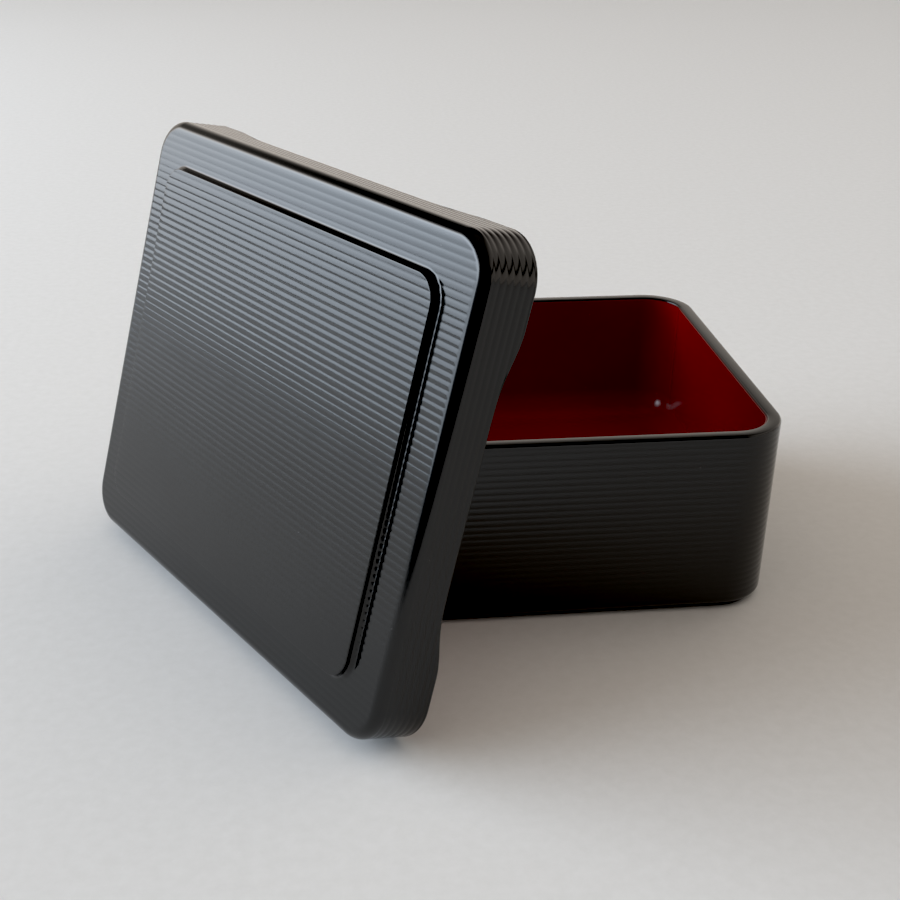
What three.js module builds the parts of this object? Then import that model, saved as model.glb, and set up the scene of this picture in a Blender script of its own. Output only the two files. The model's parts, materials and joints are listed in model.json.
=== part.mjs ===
// Single-tier lunch box in black and red lacquer-look plastic: a ribbed box with a red inside, and a
// deep lift-off lid that leans against one corner of the box. Millimetres, +Z up.
//
// Each piece is one closed skin of stacked outlines: every outline is a rounded rectangle with the same
// number of points, and neighbouring outlines are joined by a band of triangles.

import * as THREE from 'three';

// ---- box ----
const BOX_LENGTH = 161; // outside, along X, at the rim
const BOX_WIDTH = 129; // outside, along Y, at the rim
const BOX_HEIGHT = 60;
const BOX_CORNER = 16.5; // outside corner radius seen from above
const BOX_TAPER = 0.8; // how far each wall leans in from rim to base
const BOX_WALL = 4.2; // width of the black rim
const INSIDE_FLOOR = 13; // height of the floor inside the box
const INSIDE_FILLET = 11; // between floor and walls
const FLOOR_THICKNESS = 2.8;
const BASE_ROUNDING = 1.6; // lower edge of the outside wall
const RIM_ROUNDING = 0.6;
const FOOT_HEIGHT = 1.8;
const FOOT_INSET = 2.3; // foot ring's outside, in from the wall above it
const FOOT_WIDTH = 4;

// ---- lid, in its own frame: Z = 0 is the border's top face ----
const LID_LENGTH = 168;
const LID_WIDTH = 136;
const LID_CORNER = 12;
const LID_WALL = 2.2;
const LID_FILLET = 3; // between the border and the skirt
const SKIRT_DRAFT = 0.07; // outward lean of the skirt, per millimetre of depth
const SKIRT_DEEP = 16.5; // depth of the skirt round the corners
const SKIRT_SHALLOW = 13.2; // depth at the middle of each side
const SCOOP_START = 21; // the scoop runs between these distances from the lid's end
const SCOOP_END = 48;
const SCOOP_STEPS = 8;
const PANEL_MARGIN_X = 13.8; // border width at the short sides
const PANEL_MARGIN_Y = 13.6; // border width at the long sides
const PANEL_CORNER = 7.5;
const PANEL_RAISE = 2.4;
const PANEL_ROUNDING = 0.3;
const PANEL_COVE = 1.5; // hollow curve between the border and the panel's side
const PANEL_THICKNESS = 1.4;
const LID_INSIDE_FILLET = 1.5;

// ---- red lacquer on the insides ----
const COAT = 0.4;
const COAT_GAP = 0.3; // clearance between the coat and the plastic that carries it

// ---- the lid's leaning pose, seen from the middle of the box ----
const LID_HEADING = -59.3; // degrees about Z, from the box's length to the lid's
const LID_TILT = 73.69; // degrees of lean, 90 being upright
const LID_X = -77.85;
const LID_Y = -50.38;

const CORNER_STEPS = 8;
const FILLET_STEPS = 5;

const blackPlastic = { color: 0x0b0c0d, roughness: 0.22, metalness: 0 };
const redLacquer = { color: 0x8a0a0c, roughness: 0.18, metalness: 0 };

/** Fractions of a side's straight half where the scooped edge of the lid needs points. */
function scoopFractions(halfSide) {
  const straight = halfSide - LID_CORNER;
  const fractions = [];
  for (let i = 0; i <= SCOOP_STEPS; i += 1) {
    const fromEnd = SCOOP_START + ((SCOOP_END - SCOOP_START) * i) / SCOOP_STEPS;
    fractions.push((halfSide - fromEnd) / straight);
  }
  return fractions;
}

/**
 * A rounded rectangle seen from above, anticlockwise, as points with their outward normals. The two
 * lists give extra points on the straight sides, as fractions of the straight half, largest first.
 */
function outline(length, width, corner, fractionsX = [], fractionsY = []) {
  const straightX = length / 2 - corner;
  const straightY = width / 2 - corner;
  const points = [];
  for (let quarter = 0; quarter < 4; quarter += 1) {
    const centreX = quarter === 0 || quarter === 3 ? straightX : -straightX;
    const centreY = quarter < 2 ? straightY : -straightY;
    for (let i = 0; i <= CORNER_STEPS; i += 1) {
      const angle = (quarter + i / CORNER_STEPS) * (Math.PI / 2);
      const normal = new THREE.Vector2(Math.cos(angle), Math.sin(angle));
      const point = new THREE.Vector2(centreX, centreY).addScaledVector(normal, corner);
      points.push({ point, normal });
    }
    const angle = (quarter + 1) * (Math.PI / 2);
    const normal = new THREE.Vector2(Math.cos(angle), Math.sin(angle));
    const along = new THREE.Vector2(-normal.y, normal.x);
    const alongX = quarter % 2 === 0;
    const straight = alongX ? straightX : straightY;
    const half = alongX ? width / 2 : length / 2;
    const fractions = alongX ? fractionsX : fractionsY;
    const back = [...fractions].reverse();
    for (const fraction of [...fractions.map((f) => -f), ...back]) {
      const point = normal.clone().multiplyScalar(half);
      point.addScaledVector(along, fraction * straight);
      points.push({ point, normal });
    }
  }
  return points;
}

/** An outline moved outwards by `out` and lifted to `height`; either may depend on the point. */
function ring(shape, out, height) {
  return shape.map((place) => {
    const shift = typeof out === 'function' ? out(place) : out;
    const z = typeof height === 'function' ? height(place) : height;
    const moved = place.point.clone().addScaledVector(place.normal, shift);
    return new THREE.Vector3(moved.x, moved.y, z);
  });
}

/** Joins rings into one closed skin, with a fan of triangles over the first and the last. */
function closedSkin(rings) {
  const count = rings[0].length;
  const positions = rings.flat().flatMap((p) => [p.x, p.y, p.z]);
  const index = [];
  for (let r = 0; r + 1 < rings.length; r += 1) {
    for (let i = 0; i < count; i += 1) {
      const next = (i + 1) % count;
      const a = r * count + i;
      const b = r * count + next;
      index.push(a, b, b + count, a, b + count, a + count);
    }
  }
  const first = positions.length / 3;
  const last = (rings.length - 1) * count;
  positions.push(0, 0, rings[0][0].z);
  positions.push(0, 0, rings.at(-1)[0].z);
  for (let i = 0; i < count; i += 1) {
    const next = (i + 1) % count;
    index.push(first, next, i);
    index.push(first + 1, last + i, last + next);
  }
  const geometry = new THREE.BufferGeometry();
  geometry.setAttribute('position', new THREE.Float32BufferAttribute(positions, 3));
  geometry.setIndex(index);
  geometry.computeVertexNormals();
  return geometry;
}

/** Steps of a quarter turn from 0 to 90 degrees, both ends included. */
function quarterTurn(steps = FILLET_STEPS) {
  return Array.from({ length: steps + 1 }, (_, i) => ((i / steps) * Math.PI) / 2);
}

function part(name, geometry, finish) {
  const mesh = new THREE.Mesh(geometry, new THREE.MeshStandardMaterial(finish));
  mesh.name = name;
  return mesh;
}

/** How far the box's wall has leaned in at a height. */
function taperAt(height) {
  return -BOX_TAPER * (1 - height / BOX_HEIGHT);
}

/** The box's inside, `skin` millimetres off the plastic: rings from the rim down to the floor. */
function insideRings(shape, skin) {
  const radius = INSIDE_FILLET - skin;
  const floor = INSIDE_FLOOR + skin;
  const wallFoot = floor + radius;
  const rings = [ring(shape, -BOX_WALL - skin, BOX_HEIGHT)];
  const foot = taperAt(wallFoot) - BOX_WALL - skin;
  for (const angle of quarterTurn()) {
    const out = foot - radius * (1 - Math.cos(angle));
    rings.push(ring(shape, out, wallFoot - radius * Math.sin(angle)));
  }
  return rings;
}

function boxBody() {
  const shape = outline(BOX_LENGTH, BOX_WIDTH, BOX_CORNER);
  const base = taperAt(FOOT_HEIGHT);
  const underside = INSIDE_FLOOR - FLOOR_THICKNESS;
  const rings = [
    ring(shape, base - FOOT_INSET - FOOT_WIDTH, underside),
    ring(shape, base - FOOT_INSET - FOOT_WIDTH, 0),
    ring(shape, base - FOOT_INSET, 0),
    ring(shape, base - FOOT_INSET, FOOT_HEIGHT),
  ];
  for (const angle of quarterTurn()) {
    const out = base - BASE_ROUNDING * (1 - Math.sin(angle));
    rings.push(ring(shape, out, FOOT_HEIGHT + BASE_ROUNDING * (1 - Math.cos(angle))));
  }
  rings.push(ring(shape, taperAt(BOX_HEIGHT - RIM_ROUNDING), BOX_HEIGHT - RIM_ROUNDING));
  rings.push(ring(shape, -RIM_ROUNDING, BOX_HEIGHT));
  rings.push(...insideRings(shape, 0));
  return part('box_body', closedSkin(rings), blackPlastic);
}

function boxInnerLacquer() {
  const shape = outline(BOX_LENGTH, BOX_WIDTH, BOX_CORNER);
  const hidden = insideRings(shape, COAT_GAP).reverse();
  const visible = insideRings(shape, COAT_GAP + COAT);
  return part('box_inner_lacquer', closedSkin([...hidden, ...visible]), redLacquer);
}

/** The lid's outlines: its edge and its raised panel, with matching points. */
function lidShapes() {
  const fractionsX = scoopFractions(LID_LENGTH / 2);
  const fractionsY = scoopFractions(LID_WIDTH / 2);
  const panelLength = LID_LENGTH - 2 * PANEL_MARGIN_X;
  const panelWidth = LID_WIDTH - 2 * PANEL_MARGIN_Y;
  return {
    edge: outline(LID_LENGTH, LID_WIDTH, LID_CORNER, fractionsX, fractionsY),
    panel: outline(panelLength, panelWidth, PANEL_CORNER, fractionsX, fractionsY),
  };
}

/** Depth of the skirt at a point of the lid's edge: deep round the corners, scooped between them. */
function skirtDepth({ point }) {
  const fromEndX = LID_LENGTH / 2 - Math.abs(point.x);
  const fromEndY = LID_WIDTH / 2 - Math.abs(point.y);
  const fromEnd = Math.max(fromEndX, fromEndY);
  const t = THREE.MathUtils.smoothstep(SCOOP_END - fromEnd, 0, SCOOP_END - SCOOP_START);
  return SKIRT_SHALLOW + (SKIRT_DEEP - SKIRT_SHALLOW) * t * t;
}

/** The lid's inside, `skin` millimetres off the plastic: rings from the middle out to the rim. */
function lidInsideRings({ edge, panel }, skin) {
  const wall = LID_WALL + skin;
  const ceiling = -wall;
  const panelCeiling = PANEL_RAISE - PANEL_THICKNESS - skin;
  const turn = ceiling - LID_INSIDE_FILLET;
  return [
    ring(panel, -wall, panelCeiling),
    ring(panel, -wall, ceiling),
    ring(edge, -wall - LID_INSIDE_FILLET, ceiling),
    ring(edge, -wall - SKIRT_DRAFT * turn, turn),
    ring(edge, (place) => SKIRT_DRAFT * skirtDepth(place) - wall, (place) => -skirtDepth(place)),
  ];
}

function lidShell() {
  const shapes = lidShapes();
  const { edge, panel } = shapes;
  const rings = lidInsideRings(shapes, 0);
  rings.push(ring(edge, (place) => SKIRT_DRAFT * skirtDepth(place), (place) => -skirtDepth(place)));
  for (const angle of quarterTurn()) {
    const height = -LID_FILLET * (1 - Math.sin(angle));
    const out = -LID_FILLET * (1 - Math.cos(angle)) - SKIRT_DRAFT * height;
    rings.push(ring(edge, out, height));
  }
  for (const angle of quarterTurn()) {
    rings.push(ring(panel, PANEL_COVE * (1 - Math.sin(angle)), PANEL_COVE * (1 - Math.cos(angle))));
  }
  rings.push(ring(panel, 0, PANEL_RAISE - PANEL_ROUNDING));
  rings.push(ring(panel, -PANEL_ROUNDING, PANEL_RAISE));
  return part('lid_shell', closedSkin(rings), blackPlastic);
}

function lidInnerLacquer() {
  const shapes = lidShapes();
  const visible = lidInsideRings(shapes, COAT_GAP + COAT);
  const hidden = lidInsideRings(shapes, COAT_GAP).reverse();
  return part('lid_inner_lacquer', closedSkin([...visible, ...hidden]), redLacquer);
}

/** The box stands level, with the middle of its foot ring at the origin. */
function box() {
  const group = new THREE.Group();
  group.add(boxBody(), boxInnerLacquer());
  return group;
}

/** The lid stands on one long edge of its skirt and leans back over a corner of the box. */
function leaningLid() {
  const group = new THREE.Group();
  group.add(lidShell(), lidInnerLacquer());
  const tilt = THREE.MathUtils.degToRad(LID_TILT);
  const edgeBelow = (LID_WIDTH / 2 + SKIRT_DRAFT * SKIRT_DEEP) * Math.sin(tilt);
  group.rotation.set(tilt, 0, THREE.MathUtils.degToRad(LID_HEADING), 'ZXY');
  group.position.set(LID_X, LID_Y, edgeBelow + SKIRT_DEEP * Math.cos(tilt));
  return group;
}

/** Both groups together, with the origin at the middle of the footprint, on the table. */
function lunchBox() {
  const assembly = new THREE.Group();
  assembly.add(box(), leaningLid());
  const bounds = new THREE.Box3().setFromObject(assembly, true);
  const middle = bounds.getCenter(new THREE.Vector3());
  assembly.position.set(-middle.x, -middle.y, -bounds.min.z);
  return assembly;
}

export default lunchBox();
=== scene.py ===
"""Two-piece lunch box in ribbed black plastic with red lacquer inside: the lid leans on the open box.

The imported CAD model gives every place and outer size; this script rebuilds each piece at full detail
around it. Lengths are metres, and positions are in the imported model's frame.
"""

import json
import math

import bmesh
import bpy
import numpy as np
from mathutils import Matrix, Vector


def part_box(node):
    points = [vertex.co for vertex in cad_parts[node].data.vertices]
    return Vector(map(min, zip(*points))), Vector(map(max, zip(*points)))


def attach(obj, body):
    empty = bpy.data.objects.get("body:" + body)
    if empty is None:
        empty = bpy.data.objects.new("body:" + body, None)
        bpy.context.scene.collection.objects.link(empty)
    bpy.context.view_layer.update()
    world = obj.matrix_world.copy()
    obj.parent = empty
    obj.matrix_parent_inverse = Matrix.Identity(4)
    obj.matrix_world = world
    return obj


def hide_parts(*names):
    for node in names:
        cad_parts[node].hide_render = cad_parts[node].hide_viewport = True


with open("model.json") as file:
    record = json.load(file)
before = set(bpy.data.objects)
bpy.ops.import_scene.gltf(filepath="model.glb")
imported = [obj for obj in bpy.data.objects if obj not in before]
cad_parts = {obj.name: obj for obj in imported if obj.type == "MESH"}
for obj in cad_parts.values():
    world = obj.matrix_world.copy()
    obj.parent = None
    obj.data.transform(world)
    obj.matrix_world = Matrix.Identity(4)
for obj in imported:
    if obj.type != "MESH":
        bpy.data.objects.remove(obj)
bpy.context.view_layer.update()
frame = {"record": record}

MM = 0.001

# ---- places taken from the frame ----
BOX_LOW, BOX_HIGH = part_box("box_body")
BOX_CENTRE = Vector(((BOX_LOW.x + BOX_HIGH.x) / 2, (BOX_LOW.y + BOX_HIGH.y) / 2, 0))
BOX_HALF_X = (BOX_HIGH.x - BOX_LOW.x) / 2
BOX_HALF_Y = (BOX_HIGH.y - BOX_LOW.y) / 2
BOX_HEIGHT = BOX_HIGH.z
MOUNTS = {mount["name"]: mount for mount in frame["record"]["mounts"]}

# ---- camera ----
CAMERA_FROM_BOX = Vector((-63.0, -406.333, 223.206)) * MM
CAMERA_YAW = 0.118
CAMERA_PITCH = 0.444
CAMERA_ROLL = -0.010
CAMERA_LENS = 53.23
CAMERA_SENSOR = 36

# ---- floor ----
FLOOR_HALF = 4.0

# ---- light ----
WINDOW_COLOUR = (0.87, 0.985, 1.12)
ROOM_COLOUR = (1.0, 0.91, 0.82)
BLACK_LEVEL = 0.0085
# Soft lights that reflections don't see: place, target, size and radiance.
WINDOW = ((-1.9, 0.5, 0.92), (0, 0, 0.1), (1.8, 1.4), 2.7)
SILL = ((-1.2, 0.3, 0.7), (-1.2, 0.3, 0), (1.0, 1.6), 1.0)
CEILING = ((0, 0.3, 2.2), (0, 0.3, 0), (4.2, 4.2), 0.58)

# ---- room, seen in reflections: radiances, and the ranges of the direction over which they fade ----
FULL_FADE = (0, 1)
WINDOW_EDGE = math.radians(22)
WINDOW_EDGE_FADE = (-0.03, 0.07)
CURTAIN = (3.0, 8.5)
CURTAIN_LEFT = (-0.62, -0.95)
CURTAIN_RISE = (0.0, 0.36)
CURTAIN_TOP = (0.55, 0.35)
FAR_WALL = (0, 0.9)
FAR_WALL_START = (0.0, 0.6)
FAR_WALL_TOP = (0.6, 0.25)
RIGHT_WALL = (0, 0.8)
RIGHT_WALL_START = (0.3, 0.75)
RIGHT_SHELF_LOW = (0.3, 0.24)
RIGHT_SHELF_HIGH = (0.36, 0.46)
OVERHEAD = (0.02, 0.16)
OVERHEAD_START = (0.8, 0.95)

# ---- flag: a black card behind the camera ----
FLAG_FROM_BOX = 0.46
FLAG_LEFT = -0.9
FLAG_RIGHT = 0.35
FLAG_TOP = 0.45

# ---- surfaces ----
GLOSS_IOR = 1.52

# ---- ribs ----
RIB_PITCH = 2.095 * MM
RIB_DEPTH = 0.046 * MM
SKIRT_RIB_DEPTH = 0.11 * MM
RIB_STEPS = 8

# ---- box ----
BOX_CORNER = 16.5 * MM
BOX_TAPER = 0.8 * MM
BOX_WALL = 4.2 * MM
BOX_RIM_ROUNDING = 0.7 * MM
BOX_PLAIN_TOP = 1.5 * MM
BOX_BASE_ROUNDING = 1.6 * MM
INSIDE_FLOOR = 13 * MM
INSIDE_FILLET = 11 * MM
FLOOR_THICKNESS = 2.8 * MM
FOOT_HEIGHT = 1.8 * MM
FOOT_INSET = 2.3 * MM
FOOT_WIDTH = 4 * MM
FOOT_ROUNDING = 0.4 * MM
UNDERSIDE_FLAT_INSET = 2 * MM
UNDERSIDE_BEVEL_INSET = 0.6 * MM
UNDERSIDE_BEVEL_DROP = 0.2 * MM
UNDERSIDE_EDGE_DROP = 1 * MM
INSIDE_RIM_ROUNDING = 0.5 * MM

# ---- lid, in its own frame: Z = 0 is the border's top face ----
LID_HALF_X = 84 * MM
LID_HALF_Y = 68 * MM
LID_CORNER = 12 * MM
LID_WALL = 2.2 * MM
LID_FILLET = 3 * MM
LID_RIM_ROUNDING = 0.5 * MM
SKIRT_DRAFT = 0.07
SKIRT_DEEP = 16.5 * MM
SKIRT_SHALLOW = 13.2 * MM
SCOOP_START = 21 * MM
SCOOP_END = 48 * MM
PANEL_HALF_X = 70.2 * MM
PANEL_HALF_Y = 54.4 * MM
PANEL_CORNER = 7.5 * MM
PANEL_RAISE = 2.4 * MM
PANEL_ROUNDING = 0.3 * MM
PANEL_COVE = 1.5 * MM
PANEL_THICKNESS = 1.4 * MM
LID_INSIDE_FILLET = 1.5 * MM
LID_INSIDE_EDGE = 0.3 * MM
PANEL_INSIDE_EDGE = 0.5 * MM
LEVEL_RIBS_ABOVE_SCOOP = 1.2 * MM
TOP_RIB_CREST = 1.5 * MM
SIDE_END_CLEAR_STEPS = 0.2

# ---- steps of detail ----
BOX_CORNER_STEPS = 28
BOX_SIDE_Y_STEPS = 11
BOX_SIDE_X_STEPS = 13
BOX_WALL_STEPS = 9
FOOT_STEPS = 3
BASE_STEPS = 6
RIM_STEPS = 5
INSIDE_RIM_STEPS = 4
INSIDE_FILLET_STEPS = 18
LID_CORNER_STEPS = 150
LID_SIDE_STEPS = 123
LID_INSIDE_STEPS = 6
LID_WALL_STEPS = 4
LID_RIM_STEPS = 4
SCOOP_STEPS = 16
LID_FILLET_STEPS = 14
BORDER_STEPS = 48
COVE_STEPS = 10
PANEL_EDGE_STEPS = 5
COAT_KEEPS_EVERY = 5
WELD_DISTANCE = 1e-7
SHARP_ANGLE = math.radians(38)

# ---- red lacquer ----
COAT = 0.4 * MM
COAT_GAP = 0.04 * MM
BOX_COAT_TOP = BOX_HEIGHT - 0.6 * MM
COAT_BELOW_RIM = 0.25 * MM


def groove(across):
    """0 on a rib's round crest and 1 in the sharp valley between two ribs."""
    return 1 - np.abs(np.cos(math.pi * across / RIB_PITCH))


# ---- outlines: matching points round a rounded rectangle, with their outward normals ----
def corner_path(half_x, half_y, radius, start, steps):
    """Even points round the first quadrant's corner, from (half_x, start y) to (start x, half_y)."""
    lead_in = (half_y - radius) - start[1]
    lead_out = (half_x - radius) - start[0]
    arc = radius * math.pi / 2
    points, normals = [], []
    for distance in np.linspace(0, lead_in + arc + lead_out, steps + 1):
        turned = min(max(distance - lead_in, 0), arc) / radius
        normal = np.array((math.cos(turned), math.sin(turned)))
        point = np.array((half_x - radius, half_y - radius)) + radius * normal
        point[1] -= max(lead_in - distance, 0)
        point[0] -= max(distance - lead_in - arc, 0)
        points.append(point)
        normals.append(normal)
    return np.array(points), np.array(normals)


def outline(half_x, half_y, radius, start, steps, side_y, side_x):
    """A whole outline, anticlockwise from the +X side; side_y and side_x place the points on the sides."""
    path, turn = corner_path(half_x, half_y, radius, start, steps)
    points, normals = [], []

    def add(new_points, new_normals):
        points.append(new_points)
        normals.append(new_normals)

    def side(x, y, normal):
        count = max(np.size(x), np.size(y))
        add(np.stack(np.broadcast_arrays(x, y), 1), np.tile(normal, (count, 1)))

    side(np.full(len(side_y), half_x), side_y, (1, 0))
    add(path, turn)
    side(side_x[::-1], np.full(len(side_x), half_y), (0, 1))
    add(path[::-1] * (-1, 1), turn[::-1] * (-1, 1))
    side(np.full(len(side_y), -half_x), side_y[::-1], (-1, 0))
    add(-path, -turn)
    side(side_x, np.full(len(side_x), -half_y), (0, -1))
    add(path[::-1] * (1, -1), turn[::-1] * (1, -1))
    return np.concatenate(points), np.concatenate(normals)


def ring(shape, out, height):
    """The outline moved outwards by `out`, at `height`: an array of 3-D points."""
    points, normals = shape
    moved = points + normals * np.reshape(out, (-1, 1))
    return np.column_stack((moved, np.broadcast_to(height, len(points))))


def blend_rings(start, end, steps):
    """Even steps from the start ring to the end ring, without the start."""
    return [start + (end - start) * fraction for fraction in np.linspace(0, 1, steps + 1)[1:]]


def quarter_turn(steps):
    """The angles of a quarter turn, from 0 to 90 degrees."""
    return np.linspace(0, math.pi / 2, steps + 1)


# ---- meshes ----
class Skin:
    """Collects vertices and faces of one closed mesh; seams are welded at the end."""

    def __init__(self):
        self.vertices = []
        self.faces = []
        self.count = 0

    def add_points(self, points):
        points = np.asarray(points).reshape(-1, 3)
        first = self.count
        self.vertices.append(points)
        self.count += len(points)
        return first

    def add_grid(self, rows, closed=False):
        """Quads between successive rows of points; closed joins each row's end to its start."""
        rows = np.asarray(rows)
        first = self.add_points(rows)
        count = rows.shape[1]
        index = first + np.arange(rows.shape[0] * count).reshape(rows.shape[0], count)
        if closed:
            index = np.concatenate((index, index[:, :1]), 1)
        quads = np.stack((index[:-1, :-1], index[:-1, 1:], index[1:, 1:], index[1:, :-1]), -1)
        self.faces.extend(quads.reshape(-1, 4).tolist())

    def add_cap(self, points, reverse=False):
        first = self.add_points(points)
        face = list(range(first, first + len(points)))
        self.faces.append(face[::-1] if reverse else face)

    def build(self, name, place, material):
        mesh = bpy.data.meshes.new(name)
        vertices = np.concatenate(self.vertices)
        mesh.from_pydata(vertices.tolist(), [], self.faces)
        work = bmesh.new()
        work.from_mesh(mesh)
        bmesh.ops.remove_doubles(work, verts=work.verts, dist=WELD_DISTANCE)
        bmesh.ops.dissolve_degenerate(work, edges=work.edges, dist=WELD_DISTANCE / 10)
        bmesh.ops.recalc_face_normals(work, faces=work.faces)
        work.to_mesh(mesh)
        work.free()
        mesh.transform(place)
        mesh.shade_smooth()
        mesh.set_sharp_from_angle(angle=SHARP_ANGLE)
        mesh.materials.append(material)
        piece = bpy.data.objects.new(name, mesh)
        bpy.context.scene.collection.objects.link(piece)
        return piece


# ---- node helpers ----
def new_material(name):
    material = bpy.data.materials.new(name)
    material.use_nodes = True
    return material, material.node_tree.nodes, material.node_tree.links


def add_node(nodes, kind, settings=(), **inputs):
    node = nodes.new(kind)
    for key, value in dict(settings).items():
        setattr(node, key, value)
    for key, value in inputs.items():
        node.inputs[key.replace("_", " ")].default_value = value
    return node


def ramp(nodes, stops):
    node = nodes.new("ShaderNodeValToRGB")
    elements = node.color_ramp.elements
    for i, (position, colour) in enumerate(stops):
        element = elements[i] if i < 2 else elements.new(position)
        element.position = position
        element.color = (*colour, 1)
    return node


def grey(value):
    return (value, value, value)


def gloss_material(name, dark, light, roughness_low, roughness_high, dust):
    """Moulded gloss surface: faint colour drift, smudged gloss, a fine moulding texture and sparse dust."""
    material, nodes, links = new_material(name)
    shader = nodes["Principled BSDF"]
    shader.inputs["IOR"].default_value = GLOSS_IOR
    coordinates = nodes.new("ShaderNodeTexCoord")

    drift = add_node(nodes, "ShaderNodeTexNoise", Scale=22.0, Detail=3.0, Roughness=0.55)
    links.new(coordinates.outputs["Object"], drift.inputs["Vector"])
    colour = ramp(nodes, [(0.35, dark), (0.68, light)])
    links.new(drift.outputs["Fac"], colour.inputs["Fac"])

    smudge = add_node(nodes, "ShaderNodeTexNoise", Scale=55.0, Detail=5.0, Roughness=0.6, Distortion=0.6)
    links.new(coordinates.outputs["Object"], smudge.inputs["Vector"])
    gloss = ramp(nodes, [(0.3, grey(roughness_low)), (0.75, grey(roughness_high))])
    links.new(smudge.outputs["Fac"], gloss.inputs["Fac"])
    links.new(gloss.outputs["Color"], shader.inputs["Roughness"])

    specks = add_node(nodes, "ShaderNodeTexVoronoi", {"feature": "F1"}, Scale=140.0, Randomness=1.0)
    links.new(coordinates.outputs["Object"], specks.inputs["Vector"])
    speck = ramp(nodes, [(0.018, grey(1.0)), (0.03, grey(0.0))])
    links.new(specks.outputs["Distance"], speck.inputs["Fac"])
    dusty = add_node(nodes, "ShaderNodeMix", {"data_type": "RGBA", "blend_type": "MIX"})
    links.new(speck.outputs["Color"], dusty.inputs["Factor"])
    links.new(colour.outputs["Color"], dusty.inputs[6])
    dusty.inputs[7].default_value = (*dust, 1)
    links.new(dusty.outputs[2], shader.inputs["Base Color"])

    grain = add_node(nodes, "ShaderNodeTexNoise", Scale=1400.0, Detail=2.0, Roughness=0.5)
    links.new(coordinates.outputs["Object"], grain.inputs["Vector"])
    bump = add_node(nodes, "ShaderNodeBump", Strength=0.05, Distance=0.0001)
    links.new(grain.outputs["Fac"], bump.inputs["Height"])
    links.new(bump.outputs["Normal"], shader.inputs["Normal"])
    return material


BLACK = gloss_material(
    "black_plastic",
    dark=(0.0012, 0.0014, 0.0014),
    light=(0.0024, 0.0027, 0.0028),
    roughness_low=0.09,
    roughness_high=0.14,
    dust=(0.06, 0.06, 0.06),
)
RED = gloss_material(
    "red_lacquer",
    dark=(0.15, 0.0006, 0.0004),
    light=(0.175, 0.001, 0.0008),
    roughness_low=0.18,
    roughness_high=0.26,
    dust=(0.3, 0.06, 0.05),
)


# ---- box ----
def box_outline():
    half_straight = (BOX_HALF_X - BOX_CORNER, BOX_HALF_Y - BOX_CORNER)
    side_y = np.linspace(-half_straight[1], half_straight[1], BOX_SIDE_Y_STEPS + 1)[1:-1]
    side_x = np.linspace(-half_straight[0], half_straight[0], BOX_SIDE_X_STEPS + 1)[1:-1]
    return outline(BOX_HALF_X, BOX_HALF_Y, BOX_CORNER, half_straight, BOX_CORNER_STEPS, side_y, side_x)


def taper_at(height):
    """The outside wall's distance from the rim's outline: 0 at the rim, inwards below it."""
    return -BOX_TAPER * (1 - height / BOX_HEIGHT)


def box_inside_rings(shape, skin, top, rounding=0.0):
    """From the rim down to the middle of the inside floor, `skin` off the plastic."""
    radius = INSIDE_FILLET - skin
    floor = INSIDE_FLOOR + skin
    foot = floor + radius
    rings = []
    for angle in quarter_turn(INSIDE_RIM_STEPS if rounding else 0):
        out = -BOX_WALL - skin + rounding * (1 - math.sin(angle))
        rings.append(ring(shape, out, top - rounding * (1 - math.cos(angle))))
    for height in np.linspace(top - rounding, foot, BOX_WALL_STEPS + 1)[1:-1]:
        rings.append(ring(shape, taper_at(height) - BOX_WALL - skin, height))
    for angle in quarter_turn(INSIDE_FILLET_STEPS):
        out = taper_at(foot) - BOX_WALL - skin - radius * (1 - math.cos(angle))
        rings.append(ring(shape, out, foot - radius * math.sin(angle)))
    return rings


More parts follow.
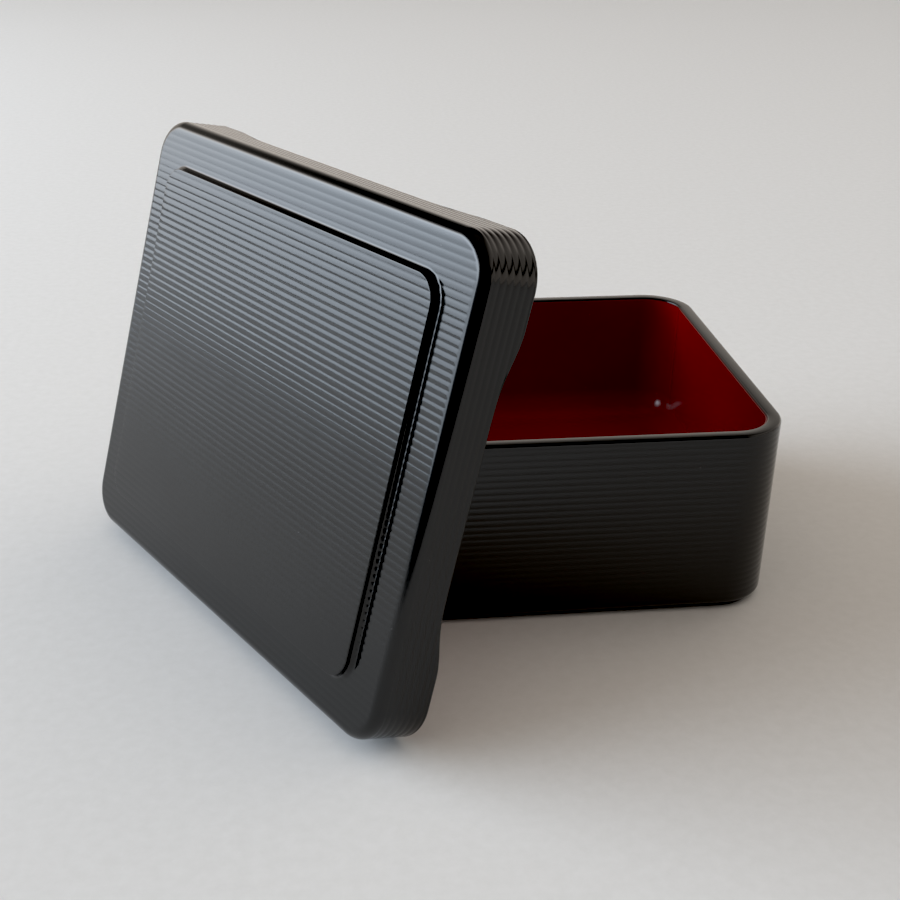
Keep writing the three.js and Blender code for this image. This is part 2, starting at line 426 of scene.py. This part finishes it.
def make_box():
    """From the underside out over the foot ring, up the ribbed walls, over the rim and down the inside."""
    shape = box_outline()
    base = taper_at(FOOT_HEIGHT)
    foot_out = base - FOOT_INSET
    foot_in = foot_out - FOOT_WIDTH
    underside = INSIDE_FLOOR - FLOOR_THICKNESS
    rings = [
        ring(shape, foot_in - UNDERSIDE_FLAT_INSET, underside),
        ring(shape, foot_in - UNDERSIDE_BEVEL_INSET, underside - UNDERSIDE_BEVEL_DROP),
        ring(shape, foot_in, underside - UNDERSIDE_EDGE_DROP),
    ]
    for angle in quarter_turn(FOOT_STEPS):
        out = foot_in + FOOT_ROUNDING * (1 - math.cos(angle))
        rings.append(ring(shape, out, FOOT_ROUNDING * (1 - math.sin(angle))))
    for angle in quarter_turn(FOOT_STEPS):
        out = foot_out - FOOT_ROUNDING * (1 - math.sin(angle))
        rings.append(ring(shape, out, FOOT_ROUNDING * (1 - math.cos(angle))))
    rings.append(ring(shape, foot_out, FOOT_HEIGHT))
    rings.append(ring(shape, base - BOX_BASE_ROUNDING, FOOT_HEIGHT))
    for angle in quarter_turn(BASE_STEPS)[1:]:
        out = base - BOX_BASE_ROUNDING * (1 - math.sin(angle))
        rings.append(ring(shape, out, FOOT_HEIGHT + BOX_BASE_ROUNDING * (1 - math.cos(angle))))
    top = BOX_HEIGHT - BOX_PLAIN_TOP
    wall_low = FOOT_HEIGHT + BOX_BASE_ROUNDING
    rib_count = math.floor((top - wall_low) / RIB_PITCH)
    low = top - rib_count * RIB_PITCH
    for height in np.linspace(low, top, rib_count * RIB_STEPS + 1):
        depth = RIB_DEPTH * groove(height - top + RIB_PITCH / 2)
        if height in (low, top):
            depth = 0.0
        rings.append(ring(shape, taper_at(height) - depth, height))
    for angle in quarter_turn(RIM_STEPS):
        out = -BOX_RIM_ROUNDING * (1 - math.cos(angle))
        rings.append(ring(shape, out, BOX_HEIGHT - BOX_RIM_ROUNDING * (1 - math.sin(angle))))
    rings.extend(box_inside_rings(shape, 0, BOX_HEIGHT, INSIDE_RIM_ROUNDING))
    skin = Skin()
    skin.add_grid(rings, closed=True)
    skin.add_cap(rings[0], reverse=True)
    skin.add_cap(rings[-1])
    return skin.build("box_shell", Matrix.Translation(BOX_CENTRE), BLACK)


def make_box_coat():
    """The red coat on the whole inside, ending just below the rim."""
    shape = box_outline()
    hidden = box_inside_rings(shape, COAT_GAP, BOX_COAT_TOP)
    visible = box_inside_rings(shape, COAT_GAP + COAT, BOX_COAT_TOP)
    rings = hidden[::-1] + visible
    skin = Skin()
    skin.add_grid(rings, closed=True)
    skin.add_cap(rings[0], reverse=True)
    skin.add_cap(rings[-1])
    return skin.build("box_red_lining", Matrix.Translation(BOX_CENTRE), RED)


# ---- lid ----
STRAIGHT_X = PANEL_HALF_X - PANEL_CORNER
STRAIGHT_Y = PANEL_HALF_Y - PANEL_CORNER


def lid_outlines():
    """Edge and panel outlines with matching points; on the short sides both keep the same heights up the
    ribs, with a point on every crest and in every valley."""
    step = RIB_PITCH / RIB_STEPS
    reach = math.floor((STRAIGHT_Y + TOP_RIB_CREST) / step)
    side_y = TOP_RIB_CREST + step * np.arange(-reach, reach + 1)
    side_y = side_y[np.abs(side_y) < STRAIGHT_Y - SIDE_END_CLEAR_STEPS * step]
    side_x = np.linspace(-STRAIGHT_X, STRAIGHT_X, LID_SIDE_STEPS + 1)[1:-1]
    start = (STRAIGHT_X, STRAIGHT_Y)
    edge = outline(LID_HALF_X, LID_HALF_Y, LID_CORNER, start, LID_CORNER_STEPS, side_y, side_x)
    panel = outline(PANEL_HALF_X, PANEL_HALF_Y, PANEL_CORNER, start, LID_CORNER_STEPS, side_y, side_x)
    return edge, panel, side_y, side_x


def skirt_depth(points):
    """Deep round the corners, scooped between them."""
    from_end = np.maximum(LID_HALF_X - np.abs(points[:, 0]), LID_HALF_Y - np.abs(points[:, 1]))
    t = np.clip((SCOOP_END - from_end) / (SCOOP_END - SCOOP_START), 0, 1)
    t = t * t * (3 - 2 * t)
    return SKIRT_SHALLOW + (SKIRT_DEEP - SKIRT_SHALLOW) * t * t


def top_ribs(points):
    return RIB_DEPTH * groove(points[:, 1] - TOP_RIB_CREST)


def ribbed(flat, base=0.0):
    """The ring with the top's ribs cut into it: nothing stays above the ribbed surface."""
    result = flat.copy()
    result[:, 2] = np.minimum(flat[:, 2], base - top_ribs(flat))
    return result


def lid_inside_rings(edge, panel, skin, rim_gap):
    """From the middle of the lid's inside out to the rim, `skin` off the plastic."""
    wall = LID_WALL + skin
    ceiling = -wall
    panel_ceiling = PANEL_RAISE - PANEL_THICKNESS - skin
    depth = skirt_depth(edge[0]) - rim_gap
    rings = [
        ring(panel, -wall - PANEL_INSIDE_EDGE, panel_ceiling),
        ring(panel, -wall, panel_ceiling - PANEL_INSIDE_EDGE),
        ring(panel, -wall, ceiling + LID_INSIDE_EDGE),
        ring(panel, -wall + LID_INSIDE_EDGE, ceiling),
    ]
    for angle in quarter_turn(LID_INSIDE_STEPS):
        out = -wall - LID_INSIDE_FILLET * (1 - math.sin(angle))
        height = ceiling - LID_INSIDE_FILLET * (1 - math.cos(angle))
        rings.append(ring(edge, out - SKIRT_DRAFT * height, height))
    turn = np.full(len(depth), ceiling - LID_INSIDE_FILLET)
    for fraction in np.linspace(0, 1, LID_WALL_STEPS + 1)[1:]:
        height = turn + (-depth - turn) * fraction
        rings.append(ring(edge, -wall - SKIRT_DRAFT * height, height))
    return rings


def panel_top(skin, top_ring, side_y_count, side_x_count):
    """Fills the panel's outline with rows along the ribs, so that every crest and valley is a mesh line."""
    half = LID_CORNER_STEPS // 2
    corner = LID_CORNER_STEPS + 1
    right = side_y_count
    top = right + corner
    total = len(top_ring)
    # The stations from one corner's middle to the next, on each side.
    right_ids = np.arange(-half - 1, right + half + 1) % total
    top_ids = np.arange(right + half, top + side_x_count + half + 1)
    left_ids = (right_ids + total // 2)[::-1] % total
    bottom_ids = ((top_ids + total // 2) % total)[::-1]
    rows = top_ring[right_ids, 1]
    columns = top_ring[top_ids, 0]
    u, v = np.meshgrid(columns, rows)

    def lifted(u, v):
        z = PANEL_RAISE - RIB_DEPTH * groove(v - TOP_RIB_CREST)
        return np.stack((u, v, z), -1)

    skin.add_grid(lifted(u, v))
    for ids, column in ((right_ids, columns[0]), (left_ids, columns[-1])):
        inner = lifted(np.full(len(rows), column), rows)
        skin.add_grid(np.stack((inner, top_ring[ids])))
    for ids, row in ((top_ids, rows[-1]), (bottom_ids, rows[0])):
        outer = top_ring[ids]
        strips = [outer]
        for fraction in np.linspace(0, 1, RIB_STEPS + 1)[1:]:
            strips.append(lifted(columns, outer[:, 1] + (row - outer[:, 1]) * fraction))
        skin.add_grid(np.stack(strips))


def lid_place():
    """The lid's own frame in the row frame, from the mount on its panel."""
    mount = MOUNTS["lid_panel"]
    up = Vector(mount["axis"]).normalized()
    along = Vector((0, 0, 1)).cross(up).normalized()
    across = up.cross(along)
    origin = Vector(mount["pos_m"]) - up * PANEL_RAISE
    return Matrix.Translation(origin) @ Matrix((along, across, up)).transposed().to_4x4()


def make_lid():
    """From the middle of the inside to the rim, up the ribbed skirt and over the border to the panel."""
    edge, panel, side_y, side_x = lid_outlines()
    depth = skirt_depth(edge[0])
    rings = lid_inside_rings(edge, panel, 0, 0)
    outer_rim = ring(edge, SKIRT_DRAFT * depth - LID_RIM_ROUNDING, -depth)
    rings.append(outer_rim)
    for angle in quarter_turn(LID_RIM_STEPS)[1:]:
        height = -depth + LID_RIM_ROUNDING * (1 - math.cos(angle))
        out = -SKIRT_DRAFT * height - LID_RIM_ROUNDING * (1 - math.sin(angle))
        rings.append(ring(edge, out, height))
    rim_top = -depth + LID_RIM_ROUNDING
    even_low = -(SKIRT_SHALLOW - LEVEL_RIBS_ABOVE_SCOOP)
    ribs_top = -LID_FILLET

    def skirt_ring(height):
        carved = SKIRT_RIB_DEPTH * groove(height - ribs_top + RIB_PITCH / 2)
        return ring(edge, -SKIRT_DRAFT * height - carved, height)

    for fraction in np.linspace(0, 1, SCOOP_STEPS + 1)[1:-1]:
        rings.append(skirt_ring(rim_top + (even_low - rim_top) * fraction))
    even_count = round((ribs_top - even_low) / RIB_PITCH * RIB_STEPS)
    for k in range(even_count, 0, -1):
        height = ribs_top - k * RIB_PITCH / RIB_STEPS
        rings.append(skirt_ring(np.full(len(depth), height)))
    for angle in quarter_turn(LID_FILLET_STEPS):
        height = -LID_FILLET * (1 - math.sin(angle))
        out = -LID_FILLET * (1 - math.cos(angle)) - SKIRT_DRAFT * height
        rings.append(ribbed(ring(edge, out, height)))
    inner = ring(panel, PANEL_COVE, 0)
    for flat in blend_rings(ring(edge, -LID_FILLET, 0), inner, BORDER_STEPS):
        rings.append(ribbed(flat))
    for angle in quarter_turn(COVE_STEPS)[1:]:
        cove = ring(panel, PANEL_COVE * (1 - math.sin(angle)), PANEL_COVE * (1 - math.cos(angle)))
        cove[:, 2] -= top_ribs(cove) * math.cos(angle)
        rings.append(cove)
    for angle in quarter_turn(PANEL_EDGE_STEPS):
        height = PANEL_RAISE - PANEL_ROUNDING * (1 - math.sin(angle))
        rings.append(ribbed(ring(panel, -PANEL_ROUNDING * (1 - math.cos(angle)), height), PANEL_RAISE))
    skin = Skin()
    skin.add_grid(rings, closed=True)
    skin.add_cap(rings[0], reverse=True)
    panel_top(skin, rings[-1], len(side_y), len(side_x))
    return skin.build("lid_body", lid_place(), BLACK)


def make_lid_coat():
    """The red coat inside the lid, on fewer points of the outlines: it has no ribs."""
    edge, panel, _, _ = lid_outlines()
    keep = np.zeros(len(edge[0]), bool)
    keep[::COAT_KEEPS_EVERY] = True
    edge = (edge[0][keep], edge[1][keep])
    panel = (panel[0][keep], panel[1][keep])
    rings = lid_inside_rings(edge, panel, COAT_GAP + COAT, COAT_BELOW_RIM)
    rings += lid_inside_rings(edge, panel, COAT_GAP, COAT_BELOW_RIM)[::-1]
    skin = Skin()
    skin.add_grid(rings, closed=True)
    skin.add_cap(rings[0])
    skin.add_cap(rings[-1])
    return skin.build("lid_red_lining", lid_place(), RED)


# ---- studio ----
def make_camera():
    yaw, pitch, roll = CAMERA_YAW, CAMERA_PITCH, CAMERA_ROLL
    forward = Vector(
        (math.sin(yaw) * math.cos(pitch), math.cos(yaw) * math.cos(pitch), -math.sin(pitch))
    )
    level = Vector((math.cos(yaw), -math.sin(yaw), 0))
    down = forward.cross(level)
    right = level * math.cos(roll) + down * math.sin(roll)
    down = down * math.cos(roll) - level * math.sin(roll)
    data = bpy.data.cameras.new("camera")
    data.lens = CAMERA_LENS
    data.sensor_width = CAMERA_SENSOR
    camera = bpy.data.objects.new("camera", data)
    rotation = Matrix((right, -down, -forward)).transposed().to_4x4()
    camera.matrix_world = Matrix.Translation(BOX_CENTRE + CAMERA_FROM_BOX) @ rotation
    bpy.context.scene.collection.objects.link(camera)
    bpy.context.scene.camera = camera


def flat_sheet(name, corners, material):
    """A flat rectangle for the studio."""
    mesh = bpy.data.meshes.new(name)
    mesh.from_pydata(corners, [], [(0, 1, 2, 3)])
    mesh.materials.append(material)
    sheet = bpy.data.objects.new(name, mesh)
    bpy.context.scene.collection.objects.link(sheet)
    return sheet


def make_floor():
    """Pale seamless paper, with a faint fibre."""
    material, nodes, links = new_material("paper")
    shader = nodes["Principled BSDF"]
    shader.inputs["Roughness"].default_value = 0.85
    shader.inputs["Specular IOR Level"].default_value = 0.2
    coordinates = nodes.new("ShaderNodeTexCoord")
    fibre = add_node(nodes, "ShaderNodeTexNoise", Scale=260.0, Detail=4.0, Roughness=0.6)
    links.new(coordinates.outputs["Object"], fibre.inputs["Vector"])
    tone = ramp(nodes, [(0.3, (0.70, 0.695, 0.68)), (0.7, (0.735, 0.73, 0.718))])
    links.new(fibre.outputs["Fac"], tone.inputs["Fac"])
    links.new(tone.outputs["Color"], shader.inputs["Base Color"])
    bump = add_node(nodes, "ShaderNodeBump", Strength=0.15, Distance=0.0002)
    links.new(fibre.outputs["Fac"], bump.inputs["Height"])
    links.new(bump.outputs["Normal"], shader.inputs["Normal"])
    half = FLOOR_HALF
    corners = [(-half, -half, 0), (half, -half, 0), (half, half, 0), (-half, half, 0)]
    floor = flat_sheet("floor", corners, material)


def soft_light(name, settings, colour):
    """A soft light that lights surfaces but leaves no reflection of itself."""
    place, target, size, radiance = settings
    data = bpy.data.lights.new(name, "AREA")
    data.shape = "RECTANGLE"
    data.size, data.size_y = size
    data.energy = radiance * math.pi * size[0] * size[1]
    data.color = colour
    light = bpy.data.objects.new(name, data)
    light.location = place
    light.rotation_euler = (Vector(target) - Vector(place)).to_track_quat("-Z", "Y").to_euler()
    light.visible_glossy = False
    bpy.context.scene.collection.objects.link(light)


def make_room():
    """What reflections see: a curtained window along the left, a pale far wall, a pale right wall with a
    dark shelf, a dim ceiling, and darkness behind the camera."""
    world = bpy.data.worlds.new("room")
    world.use_nodes = True
    nodes, links = world.node_tree.nodes, world.node_tree.links
    direction = nodes.new("ShaderNodeTexCoord").outputs["Generated"]
    parts = nodes.new("ShaderNodeSeparateXYZ")
    links.new(direction, parts.inputs["Vector"])
    x, y, z = parts.outputs["X"], parts.outputs["Y"], parts.outputs["Z"]
    inside = nodes.new("ShaderNodeVectorMath")
    inside.operation = "DOT_PRODUCT"
    links.new(direction, inside.inputs[0])
    inside.inputs[1].default_value = (-math.sin(WINDOW_EDGE), math.cos(WINDOW_EDGE), 0)

    def fade(source, start_and_end, values=FULL_FADE):
        """A smooth change between the two values as the source goes from start to end."""
        node = nodes.new("ShaderNodeMapRange")
        node.interpolation_type = "SMOOTHSTEP"
        node.inputs["From Min"].default_value, node.inputs["From Max"].default_value = start_and_end
        node.inputs["To Min"].default_value, node.inputs["To Max"].default_value = values
        links.new(source, node.inputs["Value"])
        return node.outputs["Result"]

    def combine(operation, first, second):
        node = nodes.new("ShaderNodeMath")
        node.operation = operation
        links.new(first, node.inputs[0])
        links.new(second, node.inputs[1])
        return node.outputs["Value"]

    lit_side = fade(inside.outputs["Value"], WINDOW_EDGE_FADE)
    leftness = fade(x, CURTAIN_LEFT)
    curtain = combine("MULTIPLY", fade(z, CURTAIN_RISE, CURTAIN), fade(z, CURTAIN_TOP))
    window = combine("MULTIPLY", leftness, curtain)
    far_wall = combine("MULTIPLY", fade(y, FAR_WALL_START, FAR_WALL), fade(z, FAR_WALL_TOP))
    walls = combine("MULTIPLY", combine("ADD", window, far_wall), lit_side)
    around_shelf = combine("ADD", fade(z, RIGHT_SHELF_LOW), fade(z, RIGHT_SHELF_HIGH))
    right_wall = combine("MULTIPLY", fade(x, RIGHT_WALL_START, RIGHT_WALL), around_shelf)
    walls = combine("ADD", walls, right_wall)
    strength = combine("ADD", walls, fade(z, OVERHEAD_START, OVERHEAD))
    tint = nodes.new("ShaderNodeMix")
    tint.data_type = "RGBA"
    links.new(leftness, tint.inputs["Factor"])
    tint.inputs[6].default_value = (*ROOM_COLOUR, 1)
    tint.inputs[7].default_value = (*WINDOW_COLOUR, 1)
    background = nodes["Background"]
    links.new(tint.outputs[2], background.inputs["Color"])
    links.new(strength, background.inputs["Strength"])
    bpy.context.scene.world = world


def make_light():
    """The room, with soft light from the window, its sill and the ceiling."""
    make_room()
    soft_light("window", WINDOW, WINDOW_COLOUR)
    soft_light("sill", SILL, WINDOW_COLOUR)
    soft_light("ceiling", CEILING, ROOM_COLOUR)
    view = bpy.context.scene.view_settings
    view.view_transform = "Standard"
    view.use_curve_mapping = True
    view.curve_mapping.black_level = (BLACK_LEVEL, BLACK_LEVEL, BLACK_LEVEL)
    view.curve_mapping.update()


def make_flag():
    """A black card that only reflections see: the lid's rounded edge and the box's front mirror it."""
    material, nodes, _ = new_material("flag")
    nodes["Principled BSDF"].inputs["Base Color"].default_value = (0.01, 0.01, 0.01, 1)
    y = BOX_CENTRE.y - FLAG_FROM_BOX
    corners = [(FLAG_LEFT, y, 0), (FLAG_RIGHT, y, 0), (FLAG_RIGHT, y, FLAG_TOP), (FLAG_LEFT, y, FLAG_TOP)]
    flag = flat_sheet("flag", corners, material)
    flag.visible_camera = False
    flag.visible_diffuse = False
    flag.visible_shadow = False


make_camera()
make_floor()
make_light()
make_flag()

PIECES = (
    (make_box, "box", "box_body", "black_plastic"),
    (make_box_coat, "box", "box_inner_lacquer", "red_lacquer"),
    (make_lid, "lid", "lid_shell", "black_plastic"),
    (make_lid_coat, "lid", "lid_inner_lacquer", "red_lacquer"),
)
for make, body, node, slot in PIECES:
    piece = make()
    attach(piece, body)
    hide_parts(node)
